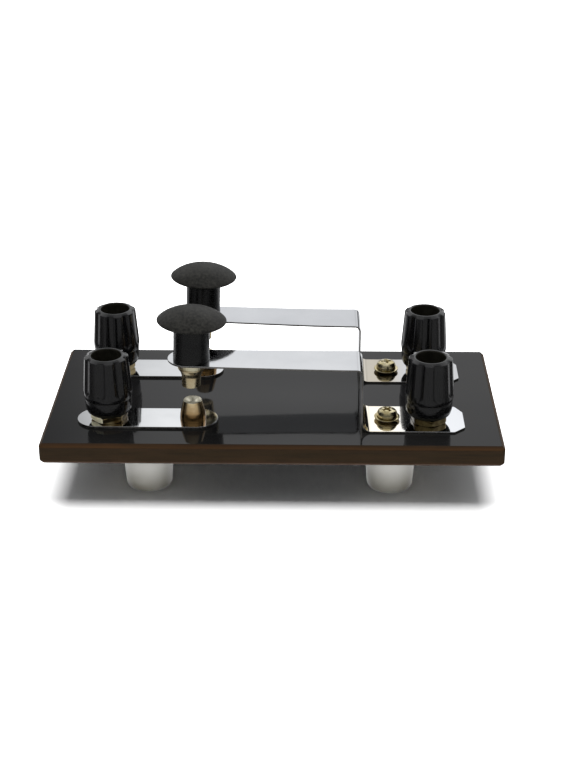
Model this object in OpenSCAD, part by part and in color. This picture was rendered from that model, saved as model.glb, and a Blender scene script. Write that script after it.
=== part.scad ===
// Double tap key: two sprung telegraph keys side by side on one insulated board.
// Origin: table level under the middle of the board. +X runs from the knobs
// to the spring feet, +Y from the front key to the rear key, +Z up. Millimetres.

/* [Board] */
// Length of the board, knobs to spring feet
board_l = 150; // [148:1:160]
// Width of the board, across both keys
board_w = 75; // [74:1:90]
// Thickness of the board
board_t = 7.2; // [6:0.2:9]
// Chamfer along the top and bottom edges
board_chamfer = 1.1; // [0.4:0.1:1.6]
// Radius of the board's upright corners
board_corner = 1.6; // [1.2:0.1:4]

/* [Key lanes] */
// Half the distance between the two keys
lane_y = 19.3; // [19:0.1:21]
// X of the knob on the front key
front_knob_x = -26.3; // [-27:0.1:-25.5]
// X of the knob on the rear key
rear_knob_x = -25.1; // [-26:0.1:-24.5]
// X of the front key's left terminal
front_post_x = -54.0; // [-55:0.1:-52]
// X of the rear key's left terminal
rear_post_x = -55.7; // [-56:0.1:-53]

/* [Contact plates] */
// Width of a contact plate
plate_w = 13.6; // [12:0.2:15]
// Thickness of a contact plate
plate_t = 0.8; // [0.6:0.1:1.2]
// Length of a contact plate
plate_l = 46.4; // [46:0.2:48]

/* [Contacts] */
// Radius of a contact's base
contact_r = 4.45; // [4:0.05:4.8]
// Radius of a contact's flat tip
contact_tip_r = 3.05; // [2.6:0.05:3.3]
// Height of a contact
contact_h = 6.8; // [6:0.1:7.4]

/* [Spring strips] */
// Thickness of the spring strip
strip_t = 0.6; // [0.5:0.05:0.8]
// Width of the strip where it is clamped to the board
strip_foot_w = 18.4; // [17:0.2:19]
// Width of the arm at the top of the riser
strip_arm_w = 15.2; // [14:0.2:16]
// Width of the arm at its rounded end
strip_tip_w = 13.2; // [12:0.2:14]
// Height of the front arm's top face over the board, at the riser
front_arm_z = 21.75; // [21:0.05:22.5]
// Height of the rear arm's top face over the board, at the riser
rear_arm_z = 20.8; // [20.4:0.05:22]
// Upward slope of the front arm at rest, in degrees
front_rise = 0.8; // [0:0.1:1.5]
// Upward slope of the rear arm at rest, in degrees
rear_rise = 1.8; // [0.5:0.1:2.2]
// Distance from the riser to the middle of the arm's flexing length
flex_x = 13; // [12:0.5:15]

/* [Knobs] */
// Radius of the knob's mushroom cap
knob_r = 11.25; // [10:0.05:12]
// Radius of the knob's stem
knob_stem_r = 5.85; // [5:0.05:6]
// Height of the knob
knob_h = 17.6; // [16:0.1:19]
// Height of the domed part of the cap
knob_dome_h = 4.0; // [3:0.1:5]

/* [Terminals] */
// Radius of the screw stud
stud_r = 3.0; // [3.0]
// Radius of the 4 mm plug socket in the stud
socket_r = 2.0; // [2.0]
// Depth of the plug socket
socket_depth = 11; // [9:0.5:11]
// Height of a terminal's fluted cap over the board
terminal_h = 23.5; // [22:0.1:25]
// Radius of the cap at its top
cap_top_r = 7.1; // [6.8:0.05:7.3]
// Largest radius of the cap
cap_r = 7.95; // [7.5:0.05:8.1]
// Radius of the mouth in the cap
cap_mouth_r = 4.86; // [4.6:0.02:5]
// Number of flutes around a cap
flutes = 8; // [6:1:10]
// Across-flats size of the brass collar
collar_af = 10.7; // [10:0.1:11]
// Height of the brass collar
collar_h = 2.5; // [2.4:0.1:2.6]
// Thread lead of the cap, per turn
cap_lead = 1.0; // [1.0]

/* [Feet] */
// Height of a foot
foot_h = 16.3; // [14:0.1:18]
// Radius of a foot at the board
foot_top_r = 8.4; // [7.6:0.1:8.4]
// Radius of a foot at the table
foot_bottom_r = 7.6; // [6:0.1:7.6]

/* [Hidden] */

$fn = 96;
eps = 0.01;

top_z = foot_h + board_t;              // top face of the board
front_y = -lane_y;
rear_y = lane_y;
front_riser_x = 29.1;                  // middle of the riser's thickness
rear_riser_x = 29.3;
strip_y = lane_y - 0.6;                // the strips lie a little inside the lane
front_clamp_x = 37.7;
rear_clamp_x = 38.9;
front_right_x = 51.3;
rear_right_x = 51.9;
strip_end = [33.9, 34.7];              // riser to the foot's free end, front and rear
left_foot_x = -41.6;                   // feet, front and rear alike
right_foot_x = 39.1;
bend_r = 1.8;                          // upper bend radius at mid thickness
low_bend_r = 3.2;                      // lower bend radius at mid thickness
hinge_front = [front_riser_x - flex_x, front_y, top_z + front_arm_z - strip_t / 2];
hinge_rear = [rear_riser_x - flex_x, rear_y, top_z + rear_arm_z - strip_t / 2];
front_reach = hinge_front[0] - front_knob_x;
rear_reach = hinge_rear[0] - rear_knob_x;
screw_r = 1.96;                        // clamp screws
small_r = 1.5;                         // contact screws and knob studs
nut_h = 2.1;                           // round nut between arm and moving contact
post_x = [front_post_x, front_right_x, rear_post_x, rear_right_x];
post_y = [front_y, front_y, rear_y, rear_y];
post_base = [plate_t, strip_t, plate_t, strip_t];
collar_turn = [16.5, -21, 5, -15];
cap_turn = [-9, 14.5, -8, 3.5];
foot_pos = [[left_foot_x, front_y], [right_foot_x, front_y],
            [left_foot_x, rear_y], [right_foot_x, rear_y]];
nut_af = 7;
tail_r = 2.0;                          // stud below the board's top face
under_z = -board_t;                    // underside of the board, from its top

black = [0.05, 0.05, 0.055];
grey = [0.16, 0.16, 0.165];
nickel = [0.82, 0.83, 0.85];
brass = [0.72, 0.60, 0.34];
yellow_zinc = [0.74, 0.64, 0.36];
milky = [0.93, 0.93, 0.91];
laminate = [0.09, 0.08, 0.08];

// ---- small shared shapes ----

// everything over the board is drawn from the board's top face
module on_board(x = 0, y = 0) { translate([x, y, top_z]) children(); }

// hexagonal prism, across flats af
module hex(af, h) { cylinder(r = af / sqrt(3), h = h, $fn = 6); }

module ring(ro, ri, h) {
  difference() {
    cylinder(r = ro, h = h);
    translate([0, 0, -1]) cylinder(r = ri, h = h + 2);
  }
}

// pan head with a cross recess, underside on z = 0
module pan_head(r, h, drive) {
  difference() {
    rotate_extrude() polygon([[0, 0], [r, 0], [r, h * 0.42], [r * 0.9, h * 0.72], [r * 0.66, h * 0.93], [r * 0.3, h], [0, h]]);
    for (a = [0, 90]) rotate([0, 0, a])
      translate([-drive, -0.42, h * 0.42]) cube([2 * drive, 0.84, h]);
  }
}

// ---- board ----

module board_blank() {
  l = board_l; w = board_w; c = board_chamfer; r = board_corner;
  difference() {
    linear_extrude(board_t) union() {
      translate([-l / 2 + r, -w / 2]) square([l - 2 * r, w]);
      translate([-l / 2, -w / 2 + r]) square([l, w - 2 * r]);
      for (sx = [-1, 1], sy = [-1, 1])
        translate([sx * (l / 2 - r), sy * (w / 2 - r)]) circle(r);
    }
    // straight chamfers, top and bottom, on the long and the short edges
    for (s = [-1, 1]) {
      for (z = [0, board_t]) {
        translate([-l, s * w / 2, z]) rotate([45, 0, 0])
          translate([0, -c / sqrt(2), -c / sqrt(2)]) cube([2 * l, c * sqrt(2), c * sqrt(2)]);
        translate([s * l / 2, -w, z]) rotate([0, 45, 0])
          translate([-c / sqrt(2), 0, -c / sqrt(2)]) cube([c * sqrt(2), 2 * w, c * sqrt(2)]);
      }
    }
  }
}

module base_board() {
  color(laminate) difference() {
    translate([0, 0, foot_h]) board_blank();
    // terminal studs
    for (i = [0:3]) translate([post_x[i], post_y[i], foot_h - 1]) cylinder(r = tail_r + 0.05, h = board_t + 2);
    // contact screws
    for (p = [[front_knob_x, front_y], [rear_knob_x, rear_y]])
      translate([p[0], p[1], foot_h - 1]) cylinder(r = small_r + 0.1, h = board_t + 2);
    // clamp screws, right through into the feet
    for (p = [[front_clamp_x, -strip_y], [rear_clamp_x, strip_y]])
      translate([p[0], p[1], foot_h - 1]) cylinder(r = screw_r + 0.04, h = board_t + 2);
    // pilot holes for the left feet
    for (i = [0, 2]) translate([foot_pos[i][0], foot_pos[i][1], foot_h - 1]) cylinder(r = 1.75, h = 6.2);
  }
}

// ---- contact plates and fixed contacts ----

module contact_plate(xp, xk, y) {
  xm = (xp + xk) / 2 - 1.15;
  h = plate_l / 2 - plate_w / 2;
  color(nickel) on_board() difference() {
    linear_extrude(plate_t) union() {
      translate([xm - h, y - plate_w / 2]) square([2 * h, plate_w]);
      for (s = [-1, 1]) translate([xm + s * h, y]) circle(plate_w / 2);
    }
    translate([xp, y, -1]) cylinder(r = stud_r + 0.05, h = plate_t + 2);
    translate([xk, y, -1]) cylinder(r = small_r + 0.1, h = plate_t + 2);
  }
}
module front_contact_plate() { contact_plate(front_post_x, front_knob_x, front_y); }
module rear_contact_plate() { contact_plate(rear_post_x, rear_knob_x, rear_y); }

// turned contact standing on z = 0, with a dished tip and a threaded hole in its base
module contact_body(r, flank, hole) {
  color(brass) difference() {
    rotate_extrude() polygon(concat([[0, 0], [r, 0]], flank,
      [[contact_tip_r, contact_h - 0.15], [contact_tip_r - 0.15, contact_h], [0, contact_h]]));
    translate([0, 0, contact_h - 0.9]) cylinder(r1 = 0.05, r2 = contact_tip_r - 0.2, h = 0.91);
    translate([0, 0, -1]) cylinder(r = small_r, h = 1 + hole);
  }
}
module fixed_contact() {
  r = contact_r - 0.15;
  contact_body(r, [[r, 0.4], [r - 0.08, 1.6], [r - 0.25, 2.9]], 4);
}
module front_fixed_contact() { on_board(front_knob_x, front_y) translate([0, 0, plate_t]) fixed_contact(); }
module rear_fixed_contact() { on_board(rear_knob_x, rear_y) translate([0, 0, plate_t]) fixed_contact(); }

// screws that hold the fixed contacts from below
module contact_screw() {
  mirror([0, 0, 1]) pan_head(2.9, 2.1, 1.5);
  cylinder(r = small_r, h = 11.6);
}
module contact_screws() {
  color(yellow_zinc) for (p = [[front_knob_x, front_y], [rear_knob_x, rear_y]])
    on_board(p[0], p[1]) translate([0, 0, under_z - 0.6]) contact_screw();
}
module contact_washers() {
  color(nickel) for (p = [[front_knob_x, front_y], [rear_knob_x, rear_y]])
    on_board(p[0], p[1]) translate([0, 0, under_z - 0.6]) ring(3.5, small_r + 0.1, 0.6);
}

// ---- spring strips ----

// Side outline of foot, riser and the start of the arm, from the riser's middle plane
module strip_sides(arm_top) {
  t = strip_t; r = bend_r; rl = low_bend_r; zt = arm_top - t / 2;
  // foot
  translate([rl, -20, 0]) cube([36 - rl, 40, t]);
  // lower bend
  translate([rl, 20, rl + t / 2]) rotate([90, 0, 0])
    rotate([0, 0, 180]) rotate_extrude(angle = 90, $fn = 64) translate([rl - t / 2, 0]) square([t, 40]);
  // riser
  translate([-t / 2, -20, rl + t / 2]) cube([t, 40, zt - r - rl - t / 2]);
  // upper bend
  translate([-r, 20, zt - r]) rotate([90, 0, 0])
    rotate_extrude(angle = 90, $fn = 64) translate([r - t / 2, 0]) square([t, 40]);
  // start of the arm
  translate([-flex_x + t / 2 + 0.05, -20, zt - t / 2]) cube([flex_x - r - t / 2 - 0.05, 40, t]);
}

// Outline that the strip is cut to, seen along X: wide foot, narrower arm
module riser_outline(arm_top) {
  wf = strip_foot_w / 2; wa = strip_arm_w / 2;
  translate([-flex_x - 5, 0, 0]) rotate([90, 0, 90]) linear_extrude(flex_x + 45)
    polygon([[-wf, -1], [wf, -1], [wf, 3], [wa, arm_top - 3], [wa, arm_top + 1],
             [-wa, arm_top + 1], [-wa, arm_top - 3], [-wf, 3]]);
}

// Plan of the foot's free end with its cut corners
module foot_plan(e) {
  w = strip_foot_w / 2 + 1; f = strip_foot_w / 2;
  translate([0, 0, -1]) linear_extrude(40)
    polygon([[-flex_x - 3, -w], [e - 3.6, -w], [e - 3.6, -f], [e, -f + 3.4], [e, f - 4.2], [e - 2.4, f], [e - 2.4, w], [-flex_x - 3, w]]);
}

module spring_foot(x, y, arm_top, clamp_x, post) {
  color(nickel) on_board(x, y) difference() {
    intersection() {
      strip_sides(arm_top);
      riser_outline(arm_top);
      foot_plan(strip_end[y < 0 ? 0 : 1]);
    }
    translate([clamp_x - x, 0, -1]) cylinder(r = screw_r + 0.04, h = strip_t + 2);
    translate([post - x, (y < 0 ? front_y : rear_y) - y, -1]) cylinder(r = stud_r + 0.05, h = strip_t + 2);
  }
}
module front_spring_foot() { spring_foot(front_riser_x, -strip_y, front_arm_z, front_clamp_x, front_right_x); }
module rear_spring_foot() { spring_foot(rear_riser_x, strip_y, rear_arm_z, rear_clamp_x, rear_right_x); }

// Everything that swings with an arm: origin on the flexing line, arm towards -X
module swing(h, rise) { translate(h) rotate([0, rise, 0]) children(); }

module spring_arm(reach, dy) {
  t = strip_t; wt = strip_tip_w / 2; tip = reach + 1.2;
  wr = strip_arm_w / 2 - (strip_arm_w - strip_tip_w) / 2 * (flex_x / (flex_x + tip));
  color(nickel) difference() {
    union() {
      translate([0, dy, -t / 2]) linear_extrude(t) {
        polygon([[0, -wr], [0, wr], [-tip, wt], [-tip, -wt]]);
        translate([-tip, 0]) circle(wt);
      }
      // rounded root on the flexing line
      translate([0, dy, 0]) rotate([90, 0, 0]) translate([0, 0, -wr]) cylinder(r = t / 2, h = 2 * wr, $fn = 32);
    }
    translate([-reach, 0, -2]) cylinder(r = small_r + 0.1, h = 4);
  }
}

// ---- knobs ----

module knob_shape() {
  hd = knob_dome_h; hr = knob_h - hd;   // rim height
  rs = (knob_r * knob_r + hd * hd) / (2 * hd);
  n = 14; a = asin(knob_r * 0.985 / rs);
  difference() {
    rotate_extrude() polygon(concat(
      [[0, 0], [knob_stem_r + 0.1, 0], [knob_stem_r + 0.1, 0.8], [knob_stem_r, 2.2],
       [knob_stem_r, hr - 2.0], [knob_stem_r + 0.5, hr - 1.5], [knob_r * 0.75, hr - 0.9],
       [knob_r - 0.5, hr - 0.5], [knob_r, hr - 0.1], [knob_r, hr + 0.15]],
      [for (i = [0:n]) [rs * sin(a * (1 - i / n)), hr + hd - rs + rs * cos(a * (1 - i / n))]]));
    // seat of the threaded insert
    translate([0, 0, -1]) cylinder(r = 2.6, h = 9);
  }
}
module knob(reach) { color(grey) translate([-reach, 0, strip_t / 2]) knob_shape(); }
module knob_insert(reach) { color(brass) translate([-reach, 0, strip_t / 2]) ring(2.6, small_r, 8); }
module knob_stud(reach) { color(yellow_zinc) translate([-reach, 0, -strip_t / 2 - 5]) cylinder(r = small_r, h = 5 + strip_t + 7); }
module contact_nut(reach) { color(brass) translate([-reach, 0, -strip_t / 2 - nut_h]) ring(contact_r, small_r, nut_h); }
module moving_contact(reach) {
  translate([-reach, 0, -strip_t / 2 - nut_h]) mirror([0, 0, 1])
    contact_body(contact_r, [[contact_r, 0.4], [contact_r - 0.85, 1.7], [contact_tip_r + 0.1, 3.1]], 3.6);
}

module front_spring_arm() { swing(hinge_front, front_rise) spring_arm(front_reach, lane_y - strip_y); }
module front_knob() { swing(hinge_front, front_rise) knob(front_reach); }
module front_knob_insert() { swing(hinge_front, front_rise) knob_insert(front_reach); }
module front_knob_stud() { swing(hinge_front, front_rise) knob_stud(front_reach); }
module front_contact_nut() { swing(hinge_front, front_rise) contact_nut(front_reach); }
module front_moving_contact() { swing(hinge_front, front_rise) moving_contact(front_reach); }
module rear_spring_arm() { swing(hinge_rear, rear_rise) spring_arm(rear_reach, strip_y - lane_y); }
module rear_knob() { swing(hinge_rear, rear_rise) knob(rear_reach); }
module rear_knob_insert() { swing(hinge_rear, rear_rise) knob_insert(rear_reach); }
module rear_knob_stud() { swing(hinge_rear, rear_rise) knob_stud(rear_reach); }
module rear_contact_nut() { swing(hinge_rear, rear_rise) contact_nut(rear_reach); }
module rear_moving_contact() { swing(hinge_rear, rear_rise) moving_contact(rear_reach); }

// ---- clamp screws and feet ----

module clamp_screw() {
  translate([0, 0, 1.15]) pan_head(3.4, 2.6, 2.0);
  translate([0, 0, -board_t - strip_t - 9]) cylinder(r = screw_r, h = board_t + strip_t + 10.15);
}
module clamp_screws() {
  color(yellow_zinc) for (p = [[front_clamp_x, -strip_y], [rear_clamp_x, strip_y]])
    on_board(p[0], p[1]) translate([0, 0, strip_t]) clamp_screw();
}
// dished washers, small side on the strip
module clamp_washers() {
  color(yellow_zinc) for (p = [[front_clamp_x, -strip_y], [rear_clamp_x, strip_y]])
    on_board(p[0], p[1]) translate([0, 0, strip_t]) difference() {
      rotate_extrude() polygon([[0, 0], [2.9, 0], [4.2, 0.8], [4.2, 1.15], [0, 1.15]]);
      translate([0, 0, -1]) cylinder(r = screw_r + 0.1, h = 4);
    }
}

// foot with a tapered side and a rounded lower edge, table on z = 0
module foot_blank() {
  r = 1.4; rb = foot_bottom_r; rt = foot_top_r;
  rotate_extrude() union() {
    polygon([[0, 0], [rb - r, 0], [rb - r, r], [rb, r], [rt, foot_h * 0.7], [rt, foot_h], [0, foot_h]]);
    intersection() {
      translate([rb - r, r]) circle(r, $fn = 48);
      translate([rb - r, 0]) square([r, r]);
    }
  }
}
module screwed_foot(i) {
  color(milky) translate([foot_pos[i][0], foot_pos[i][1], 0]) difference() {
    foot_blank();
    translate([0, 0, -1]) cylinder(r = 4, h = 8.5);
    cylinder(r = 1.85, h = foot_h + 1);
  }
}
module clamped_foot(i, sx, sy) {
  color(milky) difference() {
    translate([foot_pos[i][0], foot_pos[i][1], 0]) foot_blank();
    translate([sx, sy, foot_h - 9.5]) cylinder(r = screw_r, h = 12);
  }
}
module front_left_foot() { screwed_foot(0); }
module front_right_foot() { clamped_foot(1, front_clamp_x, -strip_y); }
module rear_left_foot() { screwed_foot(2); }
module rear_right_foot() { clamped_foot(3, rear_clamp_x, strip_y); }
module foot_screws() {
  color(yellow_zinc) for (i = [0, 2]) translate([foot_pos[i][0], foot_pos[i][1], 7.5]) {
    mirror([0, 0, 1]) pan_head(3.3, 2.4, 1.8);
    cylinder(r = 1.75, h = foot_h - 7.5 + 5);
  }
}

// ---- terminals ----

module stud(i) {
  zt = terminal_h - 6;                  // top of the stud over the board
  zb = under_z - 5.6;
  color(brass) on_board(post_x[i], post_y[i]) difference() {
    union() {
      cylinder(r = stud_r, h = zt);
      translate([0, 0, zb]) cylinder(r = tail_r, h = 1 - zb);
    }
    translate([0, 0, zt - socket_depth]) cylinder(r = socket_r, h = socket_depth + 1);
    // cross hole for a bare wire, just over the collar
    translate([0, 0, post_base[i] + collar_h + 1.7]) rotate([90, 0, 0]) translate([0, 0, -5]) cylinder(r = 0.9, h = 10, $fn = 32);
  }
}
module front_left_stud() { stud(0); }
module front_right_stud() { stud(1); }
module rear_left_stud() { stud(2); }
module rear_right_stud() { stud(3); }

module terminal_collars() {
  color(brass) for (i = [0:3]) on_board(post_x[i], post_y[i])
    translate([0, 0, post_base[i]]) rotate([0, 0, collar_turn[i]]) difference() {
      hex(collar_af, collar_h);
      translate([0, 0, -1]) cylinder(r = stud_r, h = collar_h + 2);
    }
}
module terminal_washers() {
  color(nickel) for (i = [0:3]) on_board(post_x[i], post_y[i])
    translate([0, 0, under_z - 0.8]) ring(3.5, tail_r + 0.05, 0.8);
}
module terminal_nuts() {
  color(brass) for (i = [0:3]) on_board(post_x[i], post_y[i])
    // one flat towards the foot
    translate([0, 0, under_z - 0.8 - 3.2]) rotate([0, 0, 30]) difference() {
      hex(nut_af, 3.2);
      translate([0, 0, -1]) cylinder(r = tail_r, h = 6);
    }
}

// height where a cap starts, over the board
function cap_z(i) = post_base[i] + collar_h + 0.6;

module clamp_ring(i) {
  color(brass) on_board(post_x[i], post_y[i]) translate([0, 0, cap_z(i) - 0.6]) ring(4.9, stud_r + 0.06, 0.6);
}

// fluted cap: full base with a recess for the captive ring, fine groove, tapered fluted body, bevelled rim
module cap_shape(h) {
  c = cap_r; wide_z = 7.6; flute_z = 7.1; depth = 0.6;
  taper = atan((cap_r - cap_top_r) / (h - 0.8 - wide_z));
  difference() {
    rotate_extrude() polygon([[0, -0.5], [c - 1.6, -0.5], [c - 0.95, 0.05], [c - 0.52, 0.95], [c - 0.32, 2.1], [c - 0.26, 3.5], [c - 0.25, 4.9],
      [c - 0.38, 5.02], [c - 0.22, 5.16], [c, 6.4], [c, wide_z], [cap_top_r, h - 0.8], [cap_top_r - 0.2, h - 0.58], [cap_top_r - 1.65, h], [0, h]]);
    // mouth for the plug, the seat of the threaded insert, and the ring's recess
    translate([0, 0, 4.5]) cylinder(r = cap_mouth_r, h = h);
    translate([0, 0, h - 0.25]) cylinder(r1 = cap_mouth_r, r2 = cap_mouth_r + 0.3, h = 0.3);
    translate([0, 0, -1]) cylinder(r = 4.5, h = 6);
    translate([0, 0, -1]) cylinder(r = 5.1, h = 1);
    // flutes along the tapered side, each ending in a small ledge
    for (k = [0:flutes - 1]) rotate([0, 0, k * 360 / flutes])
      translate([c + 3.1 - depth, 0, flute_z]) rotate([0, -taper, 0]) translate([0, 0, 0.01]) cylinder(r1 = 3.1, r2 = 3.12, h = h);
  }
}
module cap(i) {
  color(black) on_board(post_x[i], post_y[i]) translate([0, 0, cap_z(i)])
    rotate([0, 0, cap_turn[i]]) cap_shape(terminal_h - cap_z(i));
}
module cap_insert(i) {
  color(brass) on_board(post_x[i], post_y[i]) translate([0, 0, cap_z(i)]) ring(4.5, stud_r + 0.06, 5.2);
}
module front_left_ring() { clamp_ring(0); }
module front_left_cap() { cap(0); }
module front_left_insert() { cap_insert(0); }
module front_right_ring() { clamp_ring(1); }
module front_right_cap() { cap(1); }
module front_right_insert() { cap_insert(1); }
module rear_left_ring() { clamp_ring(2); }
module rear_left_cap() { cap(2); }
module rear_left_insert() { cap_insert(2); }
module rear_right_ring() { clamp_ring(3); }
module rear_right_cap() { cap(3); }
module rear_right_insert() { cap_insert(3); }

base_board();
front_contact_plate();
rear_contact_plate();
front_fixed_contact();
rear_fixed_contact();
contact_screws();
contact_washers();
front_spring_foot();
rear_spring_foot();
clamp_screws();
clamp_washers();
front_left_foot();
front_right_foot();
rear_left_foot();
rear_right_foot();
foot_screws();
front_left_stud();
front_right_stud();
rear_left_stud();
rear_right_stud();
terminal_collars();
terminal_washers();
terminal_nuts();
front_spring_arm();
front_knob();
front_knob_insert();
front_knob_stud();
front_contact_nut();
front_moving_contact();
rear_spring_arm();
rear_knob();
rear_knob_insert();
rear_knob_stud();
rear_contact_nut();
rear_moving_contact();
front_left_ring();
front_left_cap();
front_left_insert();
front_right_ring();
front_right_cap();
front_right_insert();
rear_left_ring();
rear_left_cap();
rear_left_insert();
rear_right_ring();
rear_right_cap();
rear_right_insert();
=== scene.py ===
import math

import bmesh
import bpy
from mathutils import Matrix, Vector, noise


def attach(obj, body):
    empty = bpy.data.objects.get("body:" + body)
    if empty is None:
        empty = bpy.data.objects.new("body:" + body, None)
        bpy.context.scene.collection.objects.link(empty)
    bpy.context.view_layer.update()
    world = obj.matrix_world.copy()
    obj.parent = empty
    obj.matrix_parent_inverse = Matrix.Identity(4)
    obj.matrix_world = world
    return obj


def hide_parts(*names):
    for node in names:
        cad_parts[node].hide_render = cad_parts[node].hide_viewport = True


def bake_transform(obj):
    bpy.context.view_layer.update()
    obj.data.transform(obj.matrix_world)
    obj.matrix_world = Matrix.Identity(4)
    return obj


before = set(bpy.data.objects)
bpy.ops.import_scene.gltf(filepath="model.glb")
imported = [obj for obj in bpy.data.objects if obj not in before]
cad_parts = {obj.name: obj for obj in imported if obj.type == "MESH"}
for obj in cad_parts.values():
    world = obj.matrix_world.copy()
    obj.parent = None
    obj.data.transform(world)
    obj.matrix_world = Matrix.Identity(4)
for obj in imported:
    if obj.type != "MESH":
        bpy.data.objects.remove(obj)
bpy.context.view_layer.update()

MM = 0.001
DEG = math.pi / 180

# ---------------------------------------------------------------- dimensions
# The same numbers as the construction, in millimetres.

BOARD_L, BOARD_W, BOARD_T, BOARD_C, BOARD_R = 150.0, 75.0, 7.2, 1.1, 1.6
FOOT_H = 16.3
TOP = FOOT_H + BOARD_T
LANE = 19.3
STRIP_Y = 18.7
KNOB_X = {"front": -26.3, "rear": -25.1}
LEFT_X = {"front": -54.0, "rear": -55.7}
RIGHT_X = {"front": 51.3, "rear": 51.9}
RISER_X = {"front": 29.1, "rear": 29.3}
CLAMP_X = {"front": 37.7, "rear": 38.9}
ARM_Z = {"front": 21.75, "rear": 20.8}
RISE = {"front": 0.8, "rear": 1.8}
SIDE = {"front": -1.0, "rear": 1.0}
FLEX = 13.0
T_STRIP, T_PLATE = 0.6, 0.8
BEND, LOW_BEND = 1.8, 3.2
STRIP_END = {"front": 33.9, "rear": 34.7}
W_FOOT, W_ARM, W_TIP = 18.4, 15.2, 13.2
CONTACT_R, CONTACT_TIP, CONTACT_H, NUT_H = 4.45, 3.05, 6.8, 2.1
POSTS = ["front_left", "front_right", "rear_left", "rear_right"]
POST_X = [LEFT_X["front"], RIGHT_X["front"], LEFT_X["rear"], RIGHT_X["rear"]]
POST_Y = [-LANE, -LANE, LANE, LANE]
POST_BASE = [T_PLATE, T_STRIP, T_PLATE, T_STRIP]
COLLAR_TURN = [16.5, -21, 5, -15]
CAP_TURN = [-9, 14.5, -8, 3.5]
COLLAR_H = 2.5
TERMINAL_H = 23.5
FOOT_POS = [(-41.6, -LANE), (39.1, -LANE), (-41.6, LANE), (39.1, LANE)]
LEAN = {"front": 1.5, "rear": 0.6}     # the knobs lean a little towards the riser


# ---------------------------------------------------------------- node materials

def material(name, build, **sockets):
    """A node material: build(tree, principled) wires the colour, roughness and bump."""
    mat = bpy.data.materials.new(name)
    mat.use_nodes = True
    tree = mat.node_tree
    bsdf = tree.nodes["Principled BSDF"]
    for key, value in sockets.items():
        bsdf.inputs[key.replace("_", " ")].default_value = value
    build(tree, bsdf)
    return mat


def coords(tree, scale=(1, 1, 1), turn=(0, 0, 0)):
    tc = tree.nodes.new("ShaderNodeTexCoord")
    mp = tree.nodes.new("ShaderNodeMapping")
    mp.inputs["Scale"].default_value = scale
    mp.inputs["Rotation"].default_value = turn
    tree.links.new(tc.outputs["Object"], mp.inputs["Vector"])
    return mp.outputs["Vector"]


def noise_tex(tree, vec, scale, detail=3.0, rough=0.55, distort=0.0):
    n = tree.nodes.new("ShaderNodeTexNoise")
    n.inputs["Scale"].default_value = scale
    n.inputs["Detail"].default_value = detail
    n.inputs["Roughness"].default_value = rough
    n.inputs["Distortion"].default_value = distort
    tree.links.new(vec, n.inputs["Vector"])
    return n.outputs["Fac"]


def ramp(tree, fac, stops):
    r = tree.nodes.new("ShaderNodeValToRGB")
    els = r.color_ramp.elements
    while len(els) < len(stops):
        els.new(0.5)
    for el, (pos, col) in zip(els, stops):
        el.position = pos
        el.color = col if len(col) == 4 else (*col, 1)
    tree.links.new(fac, r.inputs["Fac"])
    return r.outputs["Color"]


def spread(tree, fac, lo, hi, f0=0.0, f1=1.0):
    m = tree.nodes.new("ShaderNodeMapRange")
    m.inputs["From Min"].default_value = f0
    m.inputs["From Max"].default_value = f1
    m.inputs["To Min"].default_value = lo
    m.inputs["To Max"].default_value = hi
    tree.links.new(fac, m.inputs["Value"])
    return m.outputs["Result"]


def mix_col(tree, fac, a, b, mode="MIX"):
    m = tree.nodes.new("ShaderNodeMix")
    m.data_type = "RGBA"
    m.blend_type = mode
    for value, index in ((fac, 0), (a, 6), (b, 7)):
        if isinstance(value, (int, float)):
            m.inputs[index].default_value = value
        elif isinstance(value, tuple):
            m.inputs[index].default_value = (*value[:3], 1)
        else:
            tree.links.new(value, m.inputs[index])
    return m.outputs[2]


def math_node(tree, op, a, b=0.0):
    m = tree.nodes.new("ShaderNodeMath")
    m.operation = op
    for i, v in enumerate((a, b)):
        if isinstance(v, (int, float)):
            m.inputs[i].default_value = v
        else:
            tree.links.new(v, m.inputs[i])
    return m.outputs[0]


def bump(tree, height, distance, strength=1.0, normal=None):
    b = tree.nodes.new("ShaderNodeBump")
    b.inputs["Strength"].default_value = strength
    b.inputs["Distance"].default_value = distance
    tree.links.new(height, b.inputs["Height"])
    if normal is not None:
        tree.links.new(normal, b.inputs["Normal"])
    return b.outputs["Normal"]


def axis(tree, vec, which):
    s = tree.nodes.new("ShaderNodeSeparateXYZ")
    tree.links.new(vec, s.inputs[0])
    return s.outputs[which]


def laminate_top(tree, bsdf):
    v = coords(tree)
    cloud = noise_tex(tree, v, 30, 3)
    fine = noise_tex(tree, v, 900, 2)
    tree.links.new(ramp(tree, cloud, [(0.3, (0.0034, 0.0034, 0.0037)), (0.7, (0.0050, 0.0049, 0.0048))]), bsdf.inputs["Base Color"])
    scuff = noise_tex(tree, coords(tree, (1, 6, 1), (0, 0, 0.2)), 120, 4, 0.7)
    tree.links.new(spread(tree, scuff, 0.035, 0.10, 0.35, 0.75), bsdf.inputs["Roughness"])
    tree.links.new(bump(tree, noise_tex(tree, v, 65, 1), 0.00001, 0.35, bump(tree, fine, 0.0000015, 0.3)), bsdf.inputs["Normal"])


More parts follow.
